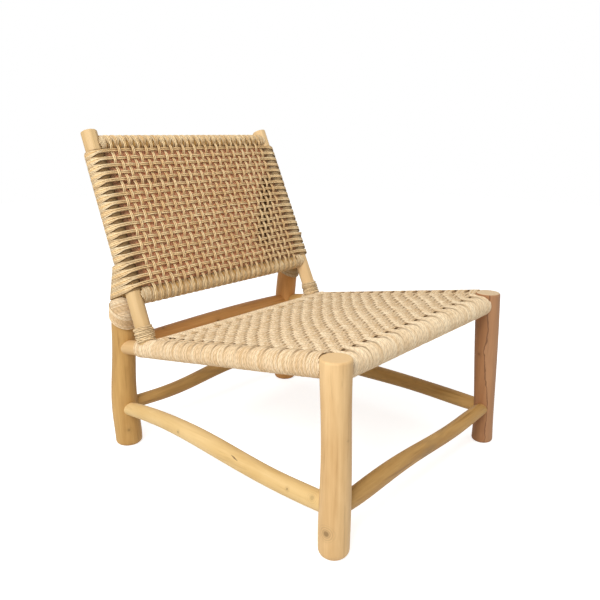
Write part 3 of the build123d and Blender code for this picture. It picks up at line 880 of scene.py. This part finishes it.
# Middles of the bundles of cords, across (x of the warp) and down the slope (t of the weft)
WARP_CENTRES = np.array([
    -258, -242, -226, -210, -194, -177, -159, -141, -122, -104, -88, -71, -52, -34, -16,
    3, 22, 42, 62, 81, 101, 121, 142, 163, 184, 204, 224, 245, 262,
], float)
WEFT_CENTRES = np.array([
    32, 49, 66, 83, 100, 116, 136, 155, 174, 194, 212, 230, 247, 264, 282, 300, 316,
    332, 348, 365, 380, 396, 414, 431, 447, 463, 479,
], float)
PER_BUNDLE = 6
FRONT_ROLL = (7.3, -10.6, 22.2)  # t and h of the axis, and the radius to the cords' centres
REAR_ROLL = (510.0, -0.2, 22.8)
WRAP_OVER_RAIL = 2.8
CROSS = 2.4  # how far a cord's centre rises or falls at a crossing
BULGE = 1.4  # how much further in the middle of a bundle
GATHER = 0.93  # a bundle's width on the deck, as a share of its pitch
NOTCH_HALF, NOTCH_DIP = 2.8, 2.6  # the opening between cords where an odd bundle enters
FLOAT_STEPS = np.array([-0.375, -0.125, 0.125, 0.375])  # places along one crossing
FLOAT_HEIGHTS = np.cos(np.pi * FLOAT_STEPS)
WEFT_SHADES = np.array([0.3, 0.0, 0.2, 0.9])  # there, where the bundle lies on top
WARP_SHADES = np.array([0.08, 0.0, 0.0, 0.08])
UNDER_SHADE = 0.9

warps = [Cords("seat_warp_" + word) for word in "abc"]
wefts = [Cords("seat_weft_" + word) for word in "abc"]
edges = Cords("seat_edge_wraps")
# Dark tubes inside the rails' turns, as painted shade
lining = Cords("seat_painted_shade_tubes", sides=24)


def bundle_edges(centres):
    middles = (centres[1:] + centres[:-1]) / 2
    first, last = 2 * centres[0] - middles[0], 2 * centres[-1] - middles[-1]
    return np.concatenate([[first], middles, [last]])


WARP_EDGES, WEFT_EDGES = bundle_edges(WARP_CENTRES), bundle_edges(WEFT_CENTRES)


def deck_height(x, t):
    """Height of the upper deck's middle surface above the side rails' axes."""
    x, t = np.asarray(x, float), np.asarray(t, float)
    rise = 11.5 + 5.5 * smooth(t / 480) + 5.0 * smooth((t - 470) / 38)
    edge = 3.5 * np.exp(-(275 - np.minimum(np.abs(x), 275)) / 16)
    sag = 3.0 * (1 - (x / 275) ** 2) * np.sin(np.pi * np.clip(t / 510, 0, 1))
    return rise + edge - sag


def floor_height(t):
    """Height of the lower deck's middle surface above the side rails' axes."""
    return -31.0 + 9.0 * smooth(t / 480)


def in_bundle(number, centres, edges):
    """A cord's bundle, place in it (-1 to 1) and width, and where it lies, even and gathered."""
    bundle, strand = divmod(number, PER_BUNDLE)
    width = edges[bundle + 1] - edges[bundle]
    place = (strand + 0.5) / PER_BUNDLE * 2 - 1
    even = edges[bundle] + (place + 1) / 2 * width
    return bundle, place, width, even, centres[bundle] + GATHER * place * width / 2


def crossings(centres, own, is_weft, float_shades):
    """Places where a bundle's cords meet the crossing bundles, their height (-1 to 1) and shade."""
    widths = np.diff(bundle_edges(centres))
    places = centres[:, None] + widths[:, None] * FLOAT_STEPS
    above = ((np.arange(len(centres)) + own) % 2 == is_weft)[:, None]
    heights = np.where(above, FLOAT_HEIGHTS, -FLOAT_HEIGHTS)
    shades = np.where(above, float_shades, UNDER_SHADE)
    return places.ravel(), heights.ravel(), shades.ravel()


def notch(place, bundle, beyond):
    """Sideways shift, shade and dip of a cord where it enters the deck, beyond mm outside it."""
    inner = 1 - abs(place)
    start = smooth((beyond + 5) / 5) * (bundle % 2)
    opening = start * (1 - smooth((beyond - 1) / 15))
    trail = start * (1 - smooth((beyond - 12) / 28))
    shift = math.copysign(inner, place) * (NOTCH_HALF * opening + 1.2 * trail)
    shade = np.maximum(0.95 * opening * smooth(inner * 1.6), 0.7 * trail * smooth(inner * 3 - 1.6))
    return shift, shade, NOTCH_DIP * opening * inner


def bridge(first, last, count=4):
    """Points between the end of one stretch and the start of the next."""
    share = np.arange(1, count + 1)[:, None] / (count + 1)
    return first + (last - first) * share


def arc_points(centre, radius, first, last, count):
    angle = np.radians(np.linspace(first, last, count))
    return np.array(centre) + radius * np.stack([np.cos(angle), np.sin(angle)], axis=1)


def seat_strand(first_arc, deck, last_arc, floor, deck_shade):
    """A closed line over the deck and under the floor, and the shade along it."""
    over, under = bridge(first_arc[-1], deck[0]), bridge(deck[-1], last_arc[0])
    line = np.vstack([first_arc, over, deck, under, last_arc, floor[::-1]])
    shade = np.zeros(len(line))
    start = len(first_arc) + len(over)
    shade[start : start + len(deck)] = deck_shade
    return line, shade


def add_weft(number):
    """A cord that runs across the seat, round both side rails."""
    bundle, place, width, even, tight = in_bundle(number, WEFT_CENTRES, WEFT_EDGES)
    radius = rail_radius(even) + WRAP_OVER_RAIL + rng.uniform(-0.3, 0.3)
    x, heights, shades = crossings(WARP_CENTRES, bundle, True, WEFT_SHADES)
    lift = (CROSS + BULGE * (1 - place**2)) * heights
    deck = np.stack([x, deck_height(x, even) + lift], axis=1)
    floor_line = np.stack([x, floor_height(even) - lift], axis=1)[::2]
    right_arc = arc_points((rail_x(RIGHT, even), 0.0), radius, 285, 62, 19)
    left_arc = arc_points((rail_x(LEFT, even), 0.0), radius, 118, -105, 19)
    line, shade = seat_strand(right_arc, deck, left_arc, floor_line, shades)
    shift, dark, dip = notch(place, bundle, np.abs(line[:, 0]) - 281)
    upper = line[:, 1] > -4
    gathered = smooth((272 - np.abs(line[:, 0])) / 10)
    t = even + (tight - even) * gathered + shift * upper + wobble(line[:, 0], 0.2, 90.0)
    points = on_seat(line[:, 0], t, line[:, 1] - dip * upper)
    # The wefts' tones run darker than the warps': painted shade that deepens the twill's dark bands
    # and dims the side rolls
    wefts[number % 3].add(
        points, 0.505 * width / PER_BUNDLE, seat_back, closed=True,
        shade=np.maximum(shade, dark * upper), tone=rng.uniform(0.25, 1.0),
    )


def add_warp(number):
    """A cord that runs down the seat, round the front and the rear roll."""
    bundle, place, width, even, tight = in_bundle(number, WARP_CENTRES, WARP_EDGES)
    t, heights, shades = crossings(WEFT_CENTRES, bundle, False, WARP_SHADES)
    lift = (CROSS + BULGE * (1 - place**2)) * heights
    deck = np.stack([t, deck_height(even, t) + lift], axis=1)
    floor_line = np.stack([t, floor_height(t) - lift], axis=1)[::2]
    radius = FRONT_ROLL[2] + rng.uniform(-0.3, 0.3)
    front_arc = arc_points(FRONT_ROLL[:2], radius, 270, 88, 17)
    rear_arc = arc_points(REAR_ROLL[:2], REAR_ROLL[2], 100, -85, 17)
    line, shade = seat_strand(front_arc, deck, rear_arc, floor_line, shades)
    shift, dark, dip = notch(place, bundle, 21 - line[:, 0])
    upper = line[:, 1] > -14
    gathered = smooth((line[:, 0] - 16) / 10) * smooth((500 - line[:, 0]) / 10)
    x = even + (tight - even) * gathered + shift * upper + wobble(line[:, 0], 0.2, 90.0)
    points = on_seat(x, line[:, 0], line[:, 1] - dip * upper)
    warps[number % 3].add(
        points, 0.505 * width / PER_BUNDLE, X_AXIS, closed=True,
        shade=np.maximum(shade, dark * upper), tone=rng.uniform(0.0, 0.7),
    )


front_leg_bars = {
    side: ((x, y, 0), Z_AXIS, radius + 0.9) for side, (x, y, radius) in FRONT_LEG_TOPS.items()
}
rear_roll_at = on_seat(0, REAR_ROLL[0], REAR_ROLL[1])


def add_side_turn(side, t):
    """A turn round a side rail beyond the deck, cut by the leg, the post and the rear roll."""
    radius = rail_radius(t) + WRAP_OVER_RAIL + rng.uniform(-0.15, 0.15)
    line = ring(lambda a, b: on_seat(rail_x(side, t) - side * a, t, b), radius, 56)
    inward = side * (rail_x(side, t) - line[:, 0]) > 0
    in_roll = np.hypot(t - REAR_ROLL[0], (line - rear_roll_at) @ seat_up) < 20.8
    foot_bar = (post_feet[side], post_ways[side], 9.6)
    bars = [front_leg_bars[side], foot_bar]
    edges.add_cut(line, 1.45, seat_back, bars, keep=~(inward & in_roll))


def add_roll_turns(side, x):
    """Turns round the front and the rear roll beyond the deck, cut by the leg and the rail."""
    rail = SIDE_RAILS[side][0], rail_way
    for (t, h, radius), bars in (
        (FRONT_ROLL, [front_leg_bars[side], (*rail, 20.6)]), (REAR_ROLL, [(*rail, 21.0)]),
    ):
        line = ring(lambda a, b: on_seat(side * x, t + a, h + b), radius, 56)
        edges.add_cut(line, 1.5, X_AXIS, bars)


for number in range(len(WEFT_CENTRES) * PER_BUNDLE):
    add_weft(number)
for number in range(len(WARP_CENTRES) * PER_BUNDLE):
    add_warp(number)
# Painted shade: dark tubes inside the turns on the rails, seen through the gaps between the cords
for side in (RIGHT, LEFT):
    t = np.linspace(27, 495, 20)
    lining.add(on_seat(rail_x(side, t), t, 0), 20.2, seat_back, shade=UNDER_SHADE)
x = np.linspace(-262, 258, 20)
lining.add(on_seat(x, FRONT_ROLL[0], FRONT_ROLL[1]), 20.0, seat_up, shade=UNDER_SHADE)
for side, last_edge in ((RIGHT, -WARP_EDGES[0]), (LEFT, WARP_EDGES[-1])):
    for t in (*np.arange(3, WEFT_EDGES[0], 2.9), *np.arange(WEFT_EDGES[-1] + 1.4, 577, 2.9)):
        add_side_turn(side, t)
    for x in np.arange(last_edge + 1.5, 292, 3.1):
        add_roll_turns(side, x)

for cords in warps + wefts + [edges, lining]:
    cords.piece(seat_cord, "seat_weave", "seat_cord")

# -------------------- lashings

POST_LASHING_HEIGHT = 54.0
LEG_LASHING_BOTTOMS = {RIGHT: 318.0, LEFT: 345.0}
LEG_LASHING_SLANT = math.radians(30)
LEG_LASHING_CORDS = {RIGHT: (seat_cord, "seat_cord"), LEFT: (back_cord, "back_cord")}


def post_lashing(side):
    """Level turns round a post's foot, and looser ones over them."""
    lashing = Cords("post_lashing_cords_" + SIDE_WORDS[side])
    foot, way = post_feet[side], unit(post_ways[side])
    bar = (SIDE_RAILS[side][0], rail_way, 23.6)
    for turn in np.arange(16, POST_LASHING_HEIGHT - 1, 2.1):
        tilt = (rng.uniform(-0.06, 0.06), rng.uniform(-0.05, 0.05), 0)
        line = around(foot + way * turn, way, POST_RADIUS + 1.6, tilt)
        lashing.add_cut(line, 1.1, way, [bar])
    for turn in np.arange(20, POST_LASHING_HEIGHT - 4, 3.4):
        tilt = (rng.uniform(-0.22, 0.22), rng.uniform(-0.14, 0.14), 0)
        line = around(foot + way * turn, way, POST_RADIUS + 3.4 + rng.uniform(-0.3, 0.3), tilt)
        lashing.add_cut(line, 1.2, way, [bar])
    lashing.piece(lashing_cord, "post_lashing_" + SIDE_WORDS[side], "lashing_cord")


def leg_lashing(side):
    """Turns round a rear leg that carry on the panel's wraps, and slanted ones over them."""
    lashing = Cords("leg_lashing_cords_" + SIDE_WORDS[side])
    bottom = LEG_LASHING_BOTTOMS[side]
    top_edge = on_panel(side * REAR_LEG_X, LAST_WRAP + 1.5, 0)
    low_edge = leg_at_height(side, bottom)[:3]
    low_normal = np.array((0, -math.sin(LEG_LASHING_SLANT), math.cos(LEG_LASHING_SLANT)))
    for heights, out, normal in (
        (392 - np.arange(0, 110, 3.0), 1.9, panel_up),
        (bottom + 2 + np.arange(0, 30, 3.0), 3.2, low_normal),
    ):
        for z in heights:
            *centre, radius = leg_at_height(side, z)
            line = around(centre, Z_AXIS, radius + out, normal - Z_AXIS, 48)
            keep = (line - top_edge) @ panel_up < -1.6
            keep &= (line - low_edge) @ low_normal > 1.2
            keep &= (line - on_panel(0, 0, 20.8)) @ panel_back > 1.5
            for points, loop in kept_stretches(line, keep, True, least=4):
                lashing.add(points, 1.5, normal, closed=loop)
    material, slot = LEG_LASHING_CORDS[side]
    lashing.piece(material, "leg_lashing_" + SIDE_WORDS[side], slot)


for lash in (post_lashing, leg_lashing):
    for side in (RIGHT, LEFT):
        lash(side)

# -------------------- stage, lights and camera

# In metres, in the CAD's frame
FLOOR_HALF = 6.0
WORLD_LIGHT = 0.5
CAMERA_PLACE, CAMERA_TARGET = (-1.0817, -0.9680, 0.7417), (-0.0062, -0.0302, 0.3636)
FOCAL_LENGTH = 627.4 / 600  # as a share of the sensor's width
LIGHT_TARGET = (0, 0, 0.35)


def backdrop_rays(tree):
    """1 for rays that see the white backdrop itself, and 0 for those that light the chair."""
    rays = tree.nodes.new("ShaderNodeLightPath")
    seen = rays.outputs["Is Camera Ray"]
    for word in ("Is Glossy Ray", "Is Transmission Ray"):
        either = tree.nodes.new("ShaderNodeMath")
        either.operation = "MAXIMUM"
        tree.links.new(seen, either.inputs[0])
        tree.links.new(rays.outputs[word], either.inputs[1])
        seen = either.outputs[0]
    return seen


def backdrop_material():
    """Pale floor that keeps the chair's shadow and shows as white to the camera."""
    sh = Shader("white_floor", roughness=0.9, specular=0.0)
    mottle = sh.noise(sh.place, 3.0, 2.0)
    sh.finish(sh.mix(mottle, rgb(0.72, 0.72, 0.72), rgb(0.76, 0.76, 0.76)))
    glow = sh.node("Emission", {"Color": rgb(1, 1, 1), "Strength": 0.72})
    both = sh.node("AddShader", {0: sh.bsdf.outputs[0], 1: glow.outputs[0]})
    seen = backdrop_rays(sh.tree)
    choice = sh.node("MixShader", {0: seen, 1: sh.bsdf.outputs[0], 2: both.outputs[0]})
    sh.link(choice.outputs[0], sh.tree.nodes["Material Output"].inputs["Surface"])
    return sh.material


def floor():
    mesh = bpy.data.meshes.new("floor")
    corners = [(a * FLOOR_HALF, b * FLOOR_HALF, 0) for a, b in ((-1, -1), (1, -1), (1, 1), (-1, 1))]
    mesh.from_pydata(corners, [], [(0, 1, 2, 3)])
    mesh.materials.append(backdrop_material())
    new_object("floor", mesh)


def world():
    """An even light from all round, which shows as white."""
    made = bpy.data.worlds.new("studio")
    made.use_nodes = True
    tree = made.node_tree
    background = tree.nodes["Background"]
    strength = tree.nodes.new("ShaderNodeMapRange")
    strength.inputs["To Min"].default_value = WORLD_LIGHT
    strength.inputs["To Max"].default_value = 1.0
    tree.links.new(backdrop_rays(tree), strength.inputs["Value"])
    background.inputs["Color"].default_value = rgb(1, 1, 1)
    tree.links.new(strength.outputs["Result"], background.inputs["Strength"])
    bpy.context.scene.world = made


def aim(thing, place, target):
    thing.location = place
    way = Vector(target) - Vector(place)
    thing.rotation_euler = way.to_track_quat("-Z", "Y").to_euler()


def area_light(name, place, size, power):
    data = bpy.data.lights.new(name, "AREA")
    data.shape = "RECTANGLE"
    data.size, data.size_y = size, size
    data.energy = power
    aim(new_object(name, data), place, LIGHT_TARGET)


def add_camera():
    data = bpy.data.cameras.new("camera")
    data.sensor_width = 36.0
    data.lens = FOCAL_LENGTH * data.sensor_width
    bpy.context.scene.camera = new_object("camera", data)
    aim(bpy.context.scene.camera, CAMERA_PLACE, CAMERA_TARGET)


floor()
world()
area_light("key", (-2.5, -0.85, 2.5), 1.5, 88)
area_light("fill", (-0.9, -2.8, 1.6), 2.0, 4)
add_camera()
bpy.context.scene.view_settings.view_transform = "Standard"
